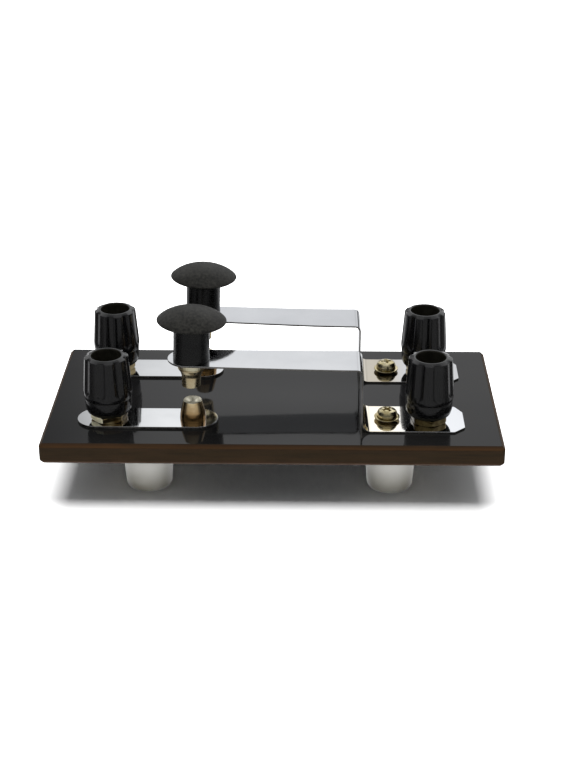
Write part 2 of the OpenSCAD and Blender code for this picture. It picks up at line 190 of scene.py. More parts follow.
def laminate_edge(tree, bsdf):
    v = coords(tree)
    z = axis(tree, v, 2)
    streak = noise_tex(tree, coords(tree, (0.5, 0.5, 9)), 140, 4, 0.65)
    blotch = noise_tex(tree, coords(tree, (1, 1, 3)), 38, 3, 0.6)
    # painted light and shade by height: the lower chamfer painted lighter and redder, the face darker and more olive,
    # the upper chamfer painted darker towards its top edge
    height = spread(tree, z, 0, 1, FOOT_H * MM, TOP * MM)
    base = ramp(tree, height, [(0.0, (0.062, 0.027, 0.012)), (0.12, (0.044, 0.021, 0.009)), (0.20, (0.026, 0.0145, 0.006)),
                               (0.66, (0.023, 0.0138, 0.0055)), (0.80, (0.024, 0.0135, 0.0056)), (0.87, (0.026, 0.0128, 0.0052)), (0.97, (0.017, 0.0090, 0.0045)), (1.0, (0.010, 0.0065, 0.0040))])
    dark = mix_col(tree, spread(tree, streak, 0.0, 0.55, 0.45, 0.75), base, (0.010, 0.0075, 0.0042))
    warm = mix_col(tree, spread(tree, blotch, 0.0, 0.5, 0.5, 0.8), dark, (0.038, 0.0195, 0.008))
    tree.links.new(warm, bsdf.inputs["Base Color"])
    tree.links.new(spread(tree, streak, 0.42, 0.62), bsdf.inputs["Roughness"])
    tree.links.new(bump(tree, streak, 0.00006, 0.6), bsdf.inputs["Normal"])


def nickel(dark, light, riser_reflection_tone=None, lit_foot_tone=None):
    """Bright nickel plate with drawing marks along X; on a strip's foot, painted light: a cool tone lighter than the
    arm's towards its end, and a warm painted reflection of the riser beside the riser.
    """
    def build(tree, bsdf):
        v = coords(tree)
        drawn = noise_tex(tree, coords(tree, (0.12, 1, 1)), 1500, 3, 0.6)
        cloud = noise_tex(tree, v, 45, 3, 0.6)
        tone = ramp(tree, cloud, [(0.3, dark), (0.7, light)])
        # painted light on the strip's foot: a lighter cool tone and a warm painted reflection of the riser
        if riser_reflection_tone:
            near = spread(tree, axis(tree, v, 0), 1.0, 0.0, 38 * MM, 46 * MM)
            low = spread(tree, axis(tree, v, 2), 1.0, 0.0, (TOP + 2) * MM, (TOP + 6) * MM)
            foot = mix_col(tree, math_node(tree, "MULTIPLY", near, spread(tree, cloud, 0.8, 1.1, 0.3, 0.7)), lit_foot_tone, riser_reflection_tone)
            tone = mix_col(tree, low, tone, foot)
        tree.links.new(tone, bsdf.inputs["Base Color"])
        tree.links.new(spread(tree, math_node(tree, "ADD", drawn, cloud), 0.035, 0.085, 0.7, 1.3), bsdf.inputs["Roughness"])
        tree.links.new(bump(tree, noise_tex(tree, v, 55, 1), 0.000012, 0.5, bump(tree, drawn, 0.0000008, 0.4)), bsdf.inputs["Normal"])
    return build


def sheared(tree, bsdf):
    """Cut edge of a plated strip: rough, scored across the thickness, and painted dark for the shade the edge is in."""
    v = coords(tree)
    score = noise_tex(tree, coords(tree, (1, 1, 0.15)), 2200, 3, 0.6)
    cloud = noise_tex(tree, v, 90, 3, 0.6)
    tree.links.new(ramp(tree, math_node(tree, "MULTIPLY", score, cloud), [(0.12, (0.13, 0.12, 0.105)), (0.42, (0.37, 0.36, 0.34))]), bsdf.inputs["Base Color"])
    tree.links.new(spread(tree, score, 0.34, 0.56, 0.3, 0.7), bsdf.inputs["Roughness"])
    tree.links.new(bump(tree, score, 0.00001, 0.6), bsdf.inputs["Normal"])


def dull_nickel(tree, bsdf):
    v = coords(tree)
    cloud = noise_tex(tree, v, 160, 3, 0.6)
    tree.links.new(ramp(tree, cloud, [(0.3, (0.42, 0.42, 0.41)), (0.7, (0.56, 0.56, 0.55))]), bsdf.inputs["Base Color"])
    tree.links.new(spread(tree, cloud, 0.2, 0.38, 0.3, 0.7), bsdf.inputs["Roughness"])
    tree.links.new(bump(tree, noise_tex(tree, v, 1200, 2), 0.000004, 0.4), bsdf.inputs["Normal"])


def turned(dark, light, rough, scale=260, lo=0.35, hi=0.72, painted_low_shade=None):
    """Turned metal: fine rings round the axis, darker blotches of tarnish; painted_low_shade = (z from, z to, tone at
    the first) paints shade that darkens the part towards the bottom.
    """
    def build(tree, bsdf):
        v = coords(tree)
        rings = noise_tex(tree, coords(tree, (0.02, 0.02, 1)), 9000, 2, 0.5)
        tarnish = noise_tex(tree, v, scale, 4, 0.6)
        tone = mix_col(tree, spread(tree, tarnish, 0.0, 1.0, lo, hi), light, dark)
        if painted_low_shade:
            tone = mix_col(tree, spread(tree, axis(tree, v, 2), 0.0, 1.0, painted_low_shade[0] * MM, painted_low_shade[1] * MM), painted_low_shade[2], tone)
        tree.links.new(tone, bsdf.inputs["Base Color"])
        tree.links.new(spread(tree, math_node(tree, "ADD", rings, tarnish), rough * 0.75, rough * 1.5, 0.7, 1.3), bsdf.inputs["Roughness"])
        tree.links.new(bump(tree, rings, 0.0000035, 0.5), bsdf.inputs["Normal"])
    return build


def zinc(tree, bsdf):
    v = coords(tree)
    film = noise_tex(tree, v, 300, 3, 0.6, 0.4)
    tree.links.new(ramp(tree, film, [(0.32, (0.42, 0.35, 0.18)), (0.5, (0.60, 0.53, 0.32)), (0.66, (0.66, 0.59, 0.41))]), bsdf.inputs["Base Color"])
    tree.links.new(spread(tree, noise_tex(tree, v, 900, 3), 0.12, 0.24, 0.3, 0.7), bsdf.inputs["Roughness"])
    tree.links.new(bump(tree, noise_tex(tree, v, 1500, 2), 0.000005, 0.5), bsdf.inputs["Normal"])


def cap_black(tree, bsdf):
    v = coords(tree)
    cloud = noise_tex(tree, v, 220, 3)
    tree.links.new(ramp(tree, cloud, [(0.3, (0.0024, 0.0024, 0.0026)), (0.7, (0.0036, 0.0036, 0.0038))]), bsdf.inputs["Base Color"])
    tree.links.new(spread(tree, noise_tex(tree, v, 700, 3), 0.09, 0.17, 0.3, 0.7), bsdf.inputs["Roughness"])
    tree.links.new(bump(tree, noise_tex(tree, v, 420, 2), 0.000006, 0.4), bsdf.inputs["Normal"])


def cap_bore(tree, bsdf):
    v = coords(tree)
    dust = noise_tex(tree, v, 500, 3, 0.6)
    tree.links.new(ramp(tree, dust, [(0.3, (0.006, 0.0056, 0.004)), (0.7, (0.013, 0.0121, 0.0085))]), bsdf.inputs["Base Color"])
    tree.links.new(spread(tree, dust, 0.45, 0.65, 0.3, 0.7), bsdf.inputs["Roughness"])


def knob_dome(tree, bsdf):
    v = coords(tree)
    grain = noise_tex(tree, v, 2600, 3, 0.6)
    mottle = noise_tex(tree, v, 1150, 2, 0.7)
    cloud = noise_tex(tree, v, 130, 3)
    both = math_node(tree, "ADD", math_node(tree, "MULTIPLY", mottle, 0.75), math_node(tree, "MULTIPLY", cloud, 0.25))
    tree.links.new(ramp(tree, both, [(0.38, (0.0022, 0.0022, 0.0019)), (0.66, (0.0125, 0.0121, 0.0104))]), bsdf.inputs["Base Color"])
    tree.links.new(spread(tree, grain, 0.44, 0.60, 0.3, 0.7), bsdf.inputs["Roughness"])
    tree.links.new(bump(tree, mottle, 0.00004, 0.5, bump(tree, grain, 0.00002, 0.7)), bsdf.inputs["Normal"])


def knob_stem(tree, bsdf):
    v = coords(tree)
    cloud = noise_tex(tree, v, 200, 3)
    tree.links.new(ramp(tree, cloud, [(0.3, (0.0022, 0.0022, 0.0022)), (0.7, (0.0036, 0.0036, 0.0035))]), bsdf.inputs["Base Color"])
    tree.links.new(spread(tree, noise_tex(tree, v, 800, 3), 0.20, 0.32, 0.3, 0.7), bsdf.inputs["Roughness"])
    tree.links.new(bump(tree, noise_tex(tree, v, 260, 2), 0.000003, 0.3), bsdf.inputs["Normal"])


def milky(tree, bsdf):
    v = coords(tree)
    z = axis(tree, v, 2)
    cloud = noise_tex(tree, v, 120, 3)
    # darker and yellower towards the bottom
    low = spread(tree, z, 1.0, 0.0, 0.0, 9 * MM)
    bottom_darkening = math_node(tree, "MULTIPLY", low, spread(tree, cloud, 0.6, 1.2, 0.3, 0.7))
    tree.links.new(mix_col(tree, bottom_darkening, (0.49, 0.485, 0.455), (0.34, 0.32, 0.26)), bsdf.inputs["Base Color"])
    tree.links.new(spread(tree, cloud, 0.30, 0.44, 0.3, 0.7), bsdf.inputs["Roughness"])
    tree.links.new(bump(tree, noise_tex(tree, v, 900, 2), 0.000008, 0.4), bsdf.inputs["Normal"])


M = {
    "top": material("board_laminate", laminate_top, IOR=1.22),
    "edge": material("board_edge", laminate_edge, IOR=1.17),
    # the rear plate and strip are the front nickel painted darker: painted shade
    "plate_front": material("plate_nickel_front", nickel((0.60, 0.61, 0.62), (0.70, 0.71, 0.72)), Metallic=1.0),
    "plate_rear": material("plate_nickel_rear_painted_shade", nickel((0.54, 0.55, 0.56), (0.62, 0.63, 0.64)), Metallic=1.0),
    "strip_front": material("strip_nickel_front", nickel((0.51, 0.52, 0.535), (0.58, 0.59, 0.605), (0.99, 0.92, 0.775), (0.74, 0.755, 0.78)), Metallic=1.0),
    "strip_rear": material("strip_nickel_rear_painted_shade", nickel((0.445, 0.455, 0.475), (0.51, 0.52, 0.54), (0.46, 0.415, 0.335), (0.54, 0.545, 0.555)), Metallic=1.0),
    "sheared": material("sheared_edge_painted_shade", sheared, Metallic=1.0),
    "dull": material("dull_nickel", dull_nickel, Metallic=1.0),
    "contact": material("contact_brass", turned((0.76, 0.58, 0.32), (0.99, 0.87, 0.58), 0.22), Metallic=1.0),
    # the fixed contact's stub is painted darker towards its foot: painted shade
    "stub": material("contact_stub_brass", turned((0.74, 0.54, 0.28), (0.99, 0.86, 0.56), 0.17, painted_low_shade=(TOP + T_PLATE + 2.0, TOP + T_PLATE + 8.6, (0.36, 0.21, 0.08))), Metallic=1.0),
    "tip": material("contact_tip_brass", turned((0.34, 0.32, 0.24), (0.76, 0.73, 0.60), 0.30, 700), Metallic=1.0),
    "nut": material("contact_nut_brass", turned((0.84, 0.72, 0.44), (0.99, 0.94, 0.70), 0.24), Metallic=1.0),
    "brass": material("terminal_brass", turned((0.13, 0.080, 0.026), (0.42, 0.333, 0.168), 0.15, 340, 0.40, 0.62), Metallic=1.0),
    # painted shade for the front right collar's facets towards the viewer
    "deep": material("shaded_brass", turned((0.045, 0.027, 0.008), (0.16, 0.12, 0.048), 0.16, 340, 0.40, 0.62), Metallic=1.0),
    # painted highlight: a pale, nearly non-metallic facet that catches light
    "pale": material("painted_highlight_brass", turned((0.90, 0.80, 0.50), (0.99, 0.95, 0.70), 0.45, 500), Metallic=0.15),
    "zinc": material("yellow_zinc", zinc, Metallic=1.0),
    # painted shade for the clamp washers' underside and outer side
    "under_rim_shade": material("painted_shade_zinc", turned((0.13, 0.105, 0.055), (0.34, 0.29, 0.18), 0.30, 500), Metallic=1.0),
    "cap": material("cap_black", cap_black, IOR=1.45),
    "bore": material("cap_bore", cap_bore, IOR=1.4),
    "skirt": material("cap_skirt_edge", cap_bore, IOR=1.12),
    "dome": material("knob_dome", knob_dome, IOR=1.30),
    "stem": material("knob_stem", knob_stem, IOR=1.36),
    "milky": material("foot_plastic", milky, IOR=1.45),
}


# ---------------------------------------------------------------- mesh helpers

def arc_corner(p0, p1, p2, r, n):
    """Points that round the corner p1 with radius r."""
    a, b, c = Vector(p0), Vector(p1), Vector(p2)
    u, w = (a - b), (c - b)
    lu, lw = u.length, w.length
    u.normalize(); w.normalize()
    dot = max(-1.0, min(1.0, u.dot(w)))
    half = math.acos(dot) / 2
    if half < 1e-3 or abs(half - math.pi / 2) < 1e-3:
        return [tuple(b)]
    d = min(r / math.tan(half), lu * 0.49, lw * 0.49)
    r = d * math.tan(half)
    bis = (u + w).normalized()
    centre = b + bis * (r / math.sin(half))
    s, e = b + u * d - centre, b + w * d - centre
    total = s.angle(e)
    out = []
    for i in range(n + 1):
        t = i / n
        v = (s * math.sin((1 - t) * total) + e * math.sin(t * total)) / math.sin(total) if total > 1e-6 else s
        out.append(tuple(centre + v))
    return out


def rounded(points, radii, n=4, closed=False):
    """The polyline with each corner rounded by its radius (a number, or one per point)."""
    if isinstance(radii, (int, float)):
        radii = [radii] * len(points)
    out = []
    m = len(points)
    for i, p in enumerate(points):
        if not closed and i in (0, m - 1) or radii[i] <= 0:
            out.append(tuple(p))
            continue
        out += arc_corner(points[i - 1], p, points[(i + 1) % m], radii[i], n)
    return out


def finish_mesh(bm, name, mats, body, replaces=(), matrix=None, pick=None, merge=1e-7, weighted=True):
    """bm is in millimetres. It becomes an object in metres that rides on body."""
    bmesh.ops.remove_doubles(bm, verts=bm.verts, dist=1e-4 if merge is None else max(merge / MM, 1e-5))
    bmesh.ops.recalc_face_normals(bm, faces=bm.faces)
    if matrix is not None:
        bmesh.ops.transform(bm, matrix=matrix, verts=bm.verts)
    bm.normal_update()
    for f in bm.faces:
        f.smooth = True
        if pick:
            f.material_index = pick(f)
    bmesh.ops.scale(bm, vec=(MM, MM, MM), verts=bm.verts)
    mesh = bpy.data.meshes.new(name)
    bm.to_mesh(mesh)
    bm.free()
    obj = bpy.data.objects.new(name, mesh)
    bpy.context.scene.collection.objects.link(obj)
    for m in mats:
        mesh.materials.append(m)
    if weighted:
        w = obj.modifiers.new("normals", "WEIGHTED_NORMAL")
        w.weight = 60
        w.keep_sharp = False
    if body:
        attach(obj, body)
    if replaces:
        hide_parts(*replaces)
    return obj


def add_loops(bm, loops, close=True):
    """Bridges closed rings of equal length; close joins the last to the first."""
    rings = [[bm.verts.new(p) for p in loop] for loop in loops]
    n = len(rings[0])
    pairs = list(zip(rings, rings[1:])) + ([(rings[-1], rings[0])] if close else [])
    for a, b in pairs:
        for i in range(n):
            j = (i + 1) % n
            bm.faces.new((a[i], a[j], b[j], b[i]))
    return rings


def lathe(bm, profile, segs=96, closed=False, at=(0, 0, 0)):
    """Turns a profile of (radius, z) about an upright axis at at. Ends on the axis close with a fan."""
    x0, y0, z0 = at
    prev = first = None
    for r, z in profile:
        if r < 1e-6:
            ring = [bm.verts.new((x0, y0, z0 + z))]
        else:
            ring = [bm.verts.new((x0 + r * math.cos(2 * math.pi * i / segs), y0 + r * math.sin(2 * math.pi * i / segs), z0 + z)) for i in range(segs)]
        if prev is not None:
            skin(bm, prev, ring)
        else:
            first = ring
        prev = ring
    if closed:
        skin(bm, prev, first)


def skin(bm, a, b):
    if len(a) == 1 and len(b) == 1:
        return
    n = max(len(a), len(b))
    for i in range(n):
        j = (i + 1) % n
        if len(a) == 1:
            bm.faces.new((a[0], b[j], b[i]))
        elif len(b) == 1:
            bm.faces.new((a[i], a[j], b[0]))
        else:
            bm.faces.new((a[i], a[j], b[j], b[i]))


def slab(outline, z0, z1, top=0.0, bottom=0.0, segments=3):
    """An outline extruded from z0 to z1, with its rims rounded."""
    bm = bmesh.new()
    face = bm.faces.new([bm.verts.new((x, y, z0)) for x, y in outline])
    up = bmesh.ops.extrude_face_region(bm, geom=[face])
    moved = [v for v in up["geom"] if isinstance(v, bmesh.types.BMVert)]
    bmesh.ops.translate(bm, vec=(0, 0, z1 - z0), verts=moved)
    bmesh.ops.recalc_face_normals(bm, faces=bm.faces)
    for z, r in ((z1, top), (z0, bottom)):
        if r > 0:
            rim = [e for e in bm.edges if all(abs(v.co.z - z) < 1e-6 for v in e.verts)]
            bmesh.ops.bevel(bm, geom=rim, offset=r, offset_type="OFFSET", segments=segments, profile=0.5, affect="EDGES", clamp_overlap=True)
    return bm


def obround(x0, x1, y, r, n=28):
    pts = []
    for i in range(n + 1):
        a = -math.pi / 2 + math.pi * i / n
        pts.append((x1 + r * math.cos(a), y + r * math.sin(a)))
    for i in range(n + 1):
        a = math.pi / 2 + math.pi * i / n
        pts.append((x0 + r * math.cos(a), y + r * math.sin(a)))
    return pts


def rounded_rect(l, w, r, n=10):
    pts = []
    for sx, sy, a0 in ((1, -1, -90), (1, 1, 0), (-1, 1, 90), (-1, -1, 180)):
        for i in range(n + 1):
            a = (a0 + 90 * i / n) * DEG
            pts.append((sx * (l / 2 - r) + r * math.cos(a), sy * (w / 2 - r) + r * math.sin(a)))
    return pts


def join_bm(dst, src, matrix=None):
    """Adds src to dst."""
    if matrix is not None:
        bmesh.ops.transform(src, matrix=matrix, verts=src.verts)
    tmp = bpy.data.meshes.new("tmp")
    src.to_mesh(tmp)
    src.free()
    dst.from_mesh(tmp)
    bpy.data.meshes.remove(tmp)


def cut(bm, cutters):
    """bm less each cutter, with the exact solver. Both are bmesh and are used up; a new bmesh comes back."""
    def to_obj(b, name):
        bmesh.ops.recalc_face_normals(b, faces=b.faces)
        me = bpy.data.meshes.new(name)
        b.to_mesh(me)
        b.free()
        o = bpy.data.objects.new(name, me)
        bpy.context.scene.collection.objects.link(o)
        return o
    a = to_obj(bm, "cut_a")
    knives = []
    for c in cutters:
        k = to_obj(c, "cut_k")
        knives.append(k)
        m = a.modifiers.new("b", "BOOLEAN")
        m.operation = "DIFFERENCE"
        m.solver = "EXACT"
        m.object = k
    bpy.context.view_layer.update()
    ev = a.evaluated_get(bpy.context.evaluated_depsgraph_get())
    me = bpy.data.meshes.new_from_object(ev)
    out = bmesh.new()
    out.from_mesh(me)
    bpy.data.meshes.remove(me)
    for o in [a] + knives:
        d = o.data
        bpy.data.objects.remove(o)
        bpy.data.meshes.remove(d)
    return out


# ---------------------------------------------------------------- board

def make_board():
    bm = bmesh.new()
    outline = rounded_rect(BOARD_L, BOARD_W, BOARD_R)
    face = bm.faces.new([bm.verts.new((x, y, FOOT_H)) for x, y in outline])
    up = bmesh.ops.extrude_face_region(bm, geom=[face])
    bmesh.ops.translate(bm, vec=(0, 0, BOARD_T), verts=[v for v in up["geom"] if isinstance(v, bmesh.types.BMVert)])
    bmesh.ops.recalc_face_normals(bm, faces=bm.faces)
    rim = [e for e in bm.edges if abs(e.verts[0].co.z - e.verts[1].co.z) < 1e-6]
    bmesh.ops.bevel(bm, geom=rim, offset=BOARD_C, offset_type="OFFSET", segments=1, profile=0.5, affect="EDGES")
    # the chamfers' own corners are broken a little
    bm.normal_update()
    soft = [e for e in bm.edges if len(e.link_faces) == 2 and abs(e.verts[0].co.z - e.verts[1].co.z) < 1e-6 and e.calc_face_angle(0) > 20 * DEG]
    bmesh.ops.bevel(bm, geom=soft, offset=0.13, offset_type="OFFSET", segments=2, profile=0.5, affect="EDGES")
    return finish_mesh(bm, "board", [M["top"], M["edge"]], "base", ["base_board"],
                       pick=lambda f: 0 if abs(f.normal.z) > 0.995 and f.calc_area() > 100 else 1)


# ---------------------------------------------------------------- contact plates

def make_plate(key):
    xp, xk, y = LEFT_X[key], KNOB_X[key], SIDE[key] * LANE
    xm, h, r = (xp + xk) / 2 - 1.15, 46.4 / 2 - 13.6 / 2, 13.6 / 2
    bm = slab(obround(xm - h, xm + h, y, r), TOP, TOP + T_PLATE, top=0.10, bottom=0.06, segments=3)
    return finish_mesh(bm, key + "_plate", [M["plate_" + key], M["sheared"]], "base", [key + "_contact_plate"],
                       pick=lambda f: 1 if abs(f.normal.z) < 0.3 else 0)


# ---------------------------------------------------------------- turned contacts

def contact_profile(r, flank, radii):
    t, h = CONTACT_TIP, CONTACT_H
    return rounded([(0, 0), (r - 0.1, 0), (r, 0.1)] + flank + [(t, h - 0.16), (t - 0.16, h), (t - 0.26, h), (1.0, h - 0.74), (0, h - 0.88)],
                   [0, 0.05, 0.05] + radii + [0.1, 0.07, 0.06, 0.8, 0], 4)


def make_fixed_contact(key):
    r, h = CONTACT_R - 0.15, CONTACT_H
    prof = contact_profile(r, [(r, 0.4), (r - 0.08, 1.6), (r - 0.25, 2.9)], [0.1, 2.0, 4.0])
    bm = bmesh.new()
    lathe(bm, prof, 96, at=(KNOB_X[key], SIDE[key] * LANE, TOP + T_PLATE))
    return finish_mesh(bm, key + "_fixed_contact_turned", [M["stub"], M["tip"]], "base", [key + "_fixed_contact"],
                       pick=lambda f: 1 if f.normal.z > 0.5 and f.calc_center_median().z > TOP + T_PLATE + h - 1.2 else 0)


def swing(key):
    """The rest place of what swings with an arm."""
    hinge = Vector((RISER_X[key] - FLEX, SIDE[key] * LANE, TOP + ARM_Z[key] - T_STRIP / 2))
    return Matrix.Translation(hinge) @ Matrix.Rotation(RISE[key] * DEG, 4, "Y")


def reach(key):
    return RISER_X[key] - FLEX - KNOB_X[key]


def make_moving_contact(key):
    place = swing(key) @ Matrix.Translation((-reach(key), 0, -T_STRIP / 2))
    nut = bmesh.new()
    lathe(nut, rounded([(1.5, -NUT_H), (CONTACT_R - 0.1, -NUT_H), (CONTACT_R, 0.1 - NUT_H), (CONTACT_R, -0.14), (CONTACT_R - 0.14, 0), (1.5, 0)],
                       [0, 0.05, 0.05, 0.06, 0.06, 0], 3), 144, closed=True)
    for v in nut.verts:                  # fine knurl round the side
        d = math.hypot(v.co.x, v.co.y)
        if d > CONTACT_R - 0.12 and round(math.atan2(v.co.y, v.co.x) / (2 * math.pi) * 144) % 3 == 0:
            v.co.x *= 1 - 0.1 / d
            v.co.y *= 1 - 0.1 / d
    a = finish_mesh(nut, key + "_contact_nut_turned", [M["nut"]], key + "_key", [key + "_contact_nut"], matrix=place)
    bm = bmesh.new()
    r, t = CONTACT_R, CONTACT_TIP
    prof = contact_profile(r, [(r, 0.4), (r - 0.85, 1.7), (t + 0.1, 3.1)], [0.2, 1.0, 1.0])
    lathe(bm, [(q, -NUT_H - z) for q, z in prof], 96)
    for v in bm.verts:
        v.co.x += LEAN[key] * DEG * (v.co.z + NUT_H)
    b = finish_mesh(bm, key + "_moving_contact_turned", [M["contact"]], key + "_key", [key + "_moving_contact"], matrix=place)
    return a, b


# ---------------------------------------------------------------- knobs

def knob_profile():
    R, rs, H, hd = 11.25, 5.85, 17.56, 3.96
    hr = H - hd
    pts = [(2.6, 0), (rs + 0.02, 0), (rs + 0.10, 0.14), (rs + 0.09, 0.9), (rs, 2.4), (rs, hr - 2.0),
           (R * 0.72, hr - 0.95), (R - 0.5, hr - 0.42), (R - 0.05, hr - 0.1)]
    radii = [0, 0.08, 0.1, 0.5, 2.5, 1.1, 3.0, 0.25, 0]
    under = rounded(pts, radii, 6)
    # crowned top: an ellipse that stands a little steeper at the rim than a sphere
    dome = []
    n = 40
    for i in range(n + 1):
        a = i / n
        r = R * math.cos(a * math.pi / 2)
        k = r / R
        z = hr + hd * ((1 - k ** 2.15) ** 0.86)
        dome.append((r, z))
    dome[-1] = (0, H)
    return under, dome, hr


def make_knob(key):
    under, dome, hr = knob_profile()
    place = swing(key) @ Matrix.Translation((-reach(key), 0, T_STRIP / 2))
    bm = bmesh.new()
    # the seat of the threaded insert closes the shape from below
    lathe(bm, [(0, 8.0), (2.6, 8.0)] + under + dome, 128)
    bm.normal_update()
    for f in bm.faces:
        f.material_index = 0 if f.calc_center_median().z > hr - 0.35 else 1
    lean = LEAN[key] * DEG
    for v in bm.verts:                   # the stem stands square on the arm and leans from there
        if math.hypot(v.co.x, v.co.y) < 2.61 and v.co.z <= 8.0:
            continue
        x, z = v.co.x, v.co.z
        t = lean * min(1.0, z / 9.0)
        v.co.x = x + t * z * 0.7
        v.co.z = z - x * t
    return finish_mesh(bm, key + "_knob_moulded", [M["dome"], M["stem"]], key + "_key", [key + "_knob"], matrix=place)


# ---------------------------------------------------------------- spring strips

def strip_line(key):
    """Middle line of the strip from the foot's free end: s -> (x, z, angle of travel) relative to the riser and the board."""
    r, rl, t = BEND, LOW_BEND, T_STRIP
    zt = ARM_Z[key] - t / 2
    l1 = STRIP_END[key] - rl
    low = math.pi / 2 * rl
    l2 = math.pi / 2 * r
    l3 = zt - r - rl - t / 2
    rise = RISE[key] * DEG
    reach_len = FLEX - r
    half = 10.0                       # the rise comes in gently over twice this
    def at(s):
        if s <= l1:
            return STRIP_END[key] - s, t / 2, math.pi
        s -= l1
        if s <= low:
            a = s / rl
            return rl - rl * math.sin(a), t / 2 + rl - rl * math.cos(a), math.pi - a
        s -= low
        if s <= l3:
            return 0.0, t / 2 + rl + s, math.pi / 2
        s -= l3
        if s <= l2:
            a = s / r
            return -r + r * math.cos(a), zt - r + r * math.sin(a), math.pi / 2 + a
        s -= l2
        # along the arm, u from the flexing line
        u = s - reach_len
        if u <= -half:
            return -r - s, zt, math.pi
        k = min(1.0, (u + half) / (2 * half))
        # integral of the angle, with a linear ramp
        if u >= half:
            drop = rise * u
            ang = rise
        else:
            drop = rise * (u + half) ** 2 / (4 * half)
            ang = rise * k
        return -FLEX - u * math.cos(rise if u > 0 else 0), zt + drop, math.pi - ang
    total = l1 + low + l3 + l2 + reach_len
    return at, l1, low, l3, l2, total


def make_strip(key):
    at, l1, low, l3, l2, s_hinge = strip_line(key)
    tip = reach(key) + 1.2
    s_tip = s_hinge + tip
    wt = W_TIP / 2
    wf, wa = W_FOOT / 2, W_ARM / 2
    z_hi = ARM_Z[key] - 3.0
    s_lo = l1 + low * 0.9
    s_hi = l1 + low + (z_hi - (T_STRIP / 2 + LOW_BEND))
    s_top = l1 + low + l3 + l2
    # outline in (s, y): y is negative towards the viewer
    near = rounded([(0.0, -wf + 3.4), (3.6, -wf), (s_lo, -wf), (s_hi, -wa), (s_top, -wa)], [0, 1.2, 8.0, 8.0, 0], 5)
    far = rounded([(0.0, wf - 4.2), (2.4, wf), (s_lo, wf), (s_hi, wa), (s_top, wa)], [0, 1.0, 8.0, 8.0, 0], 5)
    near[0:1] = arc_corner((0.0, 0.0), (0.0, -wf + 3.4), (3.6, -wf), 0.8, 5)
    far[0:1] = arc_corner((0.0, 0.0), (0.0, wf - 4.2), (2.4, wf), 0.8, 5)
    tip_arc = [(s_tip + wt * math.sin(a), -wt * math.cos(a)) for a in [math.pi * i / 36 for i in range(37)]]
    outline = near + tip_arc + list(reversed(far))
    bm = slab([(s, y) for s, y in outline], -T_STRIP / 2, T_STRIP / 2, top=0.08, bottom=0.08, segments=2)
    bm.normal_update()
    for f in bm.faces:                   # the cut edges have their own finish, rough and painted dark as shade
        f.material_index = 1 if abs(f.normal.z) < 0.3 else 0
    cuts = []
    cuts += [l1 * i / 12 for i in range(1, 12)]
    cuts += [l1 + low * i / 14 for i in range(0, 15)]
    cuts += [l1 + low + l3 * i / 10 for i in range(1, 10)]
    cuts += [l1 + low + l3 + l2 * i / 12 for i in range(0, 13)]
    cuts += [s_top + i * 1.0 for i in range(1, int(s_hinge - s_top) + 14)]
    last = s_top + int(s_hinge - s_top) + 13
    cuts += [last + i * 2.0 for i in range(1, int((s_tip + wt - last) / 2))]
    for s in sorted(set(round(c, 5) for c in cuts)):
        bmesh.ops.bisect_plane(bm, geom=bm.verts[:] + bm.edges[:] + bm.faces[:], dist=1e-5, plane_co=(s, 0, 0), plane_no=(1, 0, 0))
    x0, y0 = RISER_X[key], SIDE[key] * STRIP_Y
    for v in bm.verts:
        s, y, off = v.co
        x, z, ang = at(min(max(s, 0.0), s_tip + wt))
        # the outer face of the finished strip is the upper one on the foot and on the arm
        nx, nz = math.sin(ang), -math.cos(ang)
        v.co = (x0 + x + nx * off, y0 + y, TOP + z + nz * off)
    obj = finish_mesh(bm, key + "_spring_strip", [M["strip_" + key], M["sheared"]], None, [key + "_spring_foot", key + "_spring_arm"])
    y = y0 * MM
    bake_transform(obj)
    return obj


# ---------------------------------------------------------------- screws, washers, nuts

def head_profile(r, h):
    return rounded([(0, 0), (r - 0.25, 0), (r, 0.22), (r, h * 0.40), (r * 0.86, h * 0.80), (r * 0.45, h * 0.985), (0, h)],
                   [0, 0.12, 0.12, r * 0.30, r * 0.34, r * 0.5, 0], 5)


def cross_cutter(size, depth, top, turn=0.0):
    """Cross recess: a plus that narrows as it goes down, with a pointed floor."""
    bm = bmesh.new()
    def plus(l, w, z):
        pts = [(l, -w), (l, w), (w, w), (w, l), (-w, l), (-w, w), (-l, w), (-l, -w), (-w, -w), (-w, -l), (w, -l), (w, -w)]
        c, s = math.cos(turn), math.sin(turn)
        return [(x * c - y * s, x * s + y * c, z) for x, y in pts]
    levels = [(size * 1.12, size * 0.30, top + 0.6), (size, size * 0.26, top - 0.05), (size * 0.78, size * 0.22, top - depth * 0.55), (size * 0.42, size * 0.16, top - depth)]
    rings = [[bm.verts.new(p) for p in plus(l, w, z)] for l, w, z in levels]
    for a, b in zip(rings, rings[1:]):
        for i in range(12):
            j = (i + 1) % 12
            bm.faces.new((a[i], a[j], b[j], b[i]))
    bm.faces.new(rings[0])
    tip = bm.verts.new((0, 0, top - depth - size * 0.16))
    for i in range(12):
        bm.faces.new((rings[-1][i], rings[-1][(i + 1) % 12], tip))
    return bm


def screw_head(r, h, drive, turn=0.0):
    bm = bmesh.new()
    lathe(bm, head_profile(r, h), 72)
    bm = cut(bm, [cross_cutter(drive, h * 0.62, h, turn)])
    edges = [e for e in bm.edges if len(e.link_faces) == 2 and e.calc_face_angle(0) > 35 * DEG and max(v.co.z for v in e.verts) > h * 0.55]
    bmesh.ops.bevel(bm, geom=edges, offset=0.05, offset_type="OFFSET", segments=1, profile=0.5, affect="EDGES", clamp_overlap=True)
    return bm


def shank(bm, r, z0, z1, at=(0, 0, 0), thread=0.0, segs=48):
    """Plain or threaded rod. The thread is drawn as rings with a V form."""
    prof = [(0, z0), (r - 0.25, z0), (r, z0 + 0.25)]
    if thread:
        z = z0 + 0.3
        while z < z1 - thread * 1.3:
            prof += [(r, z + thread * 0.12), (r - thread * 0.5, z + thread * 0.5), (r, z + thread * 0.88)]
            z += thread
    prof += [(r, z1), (0, z1)]
    lathe(bm, prof, segs, at=at)


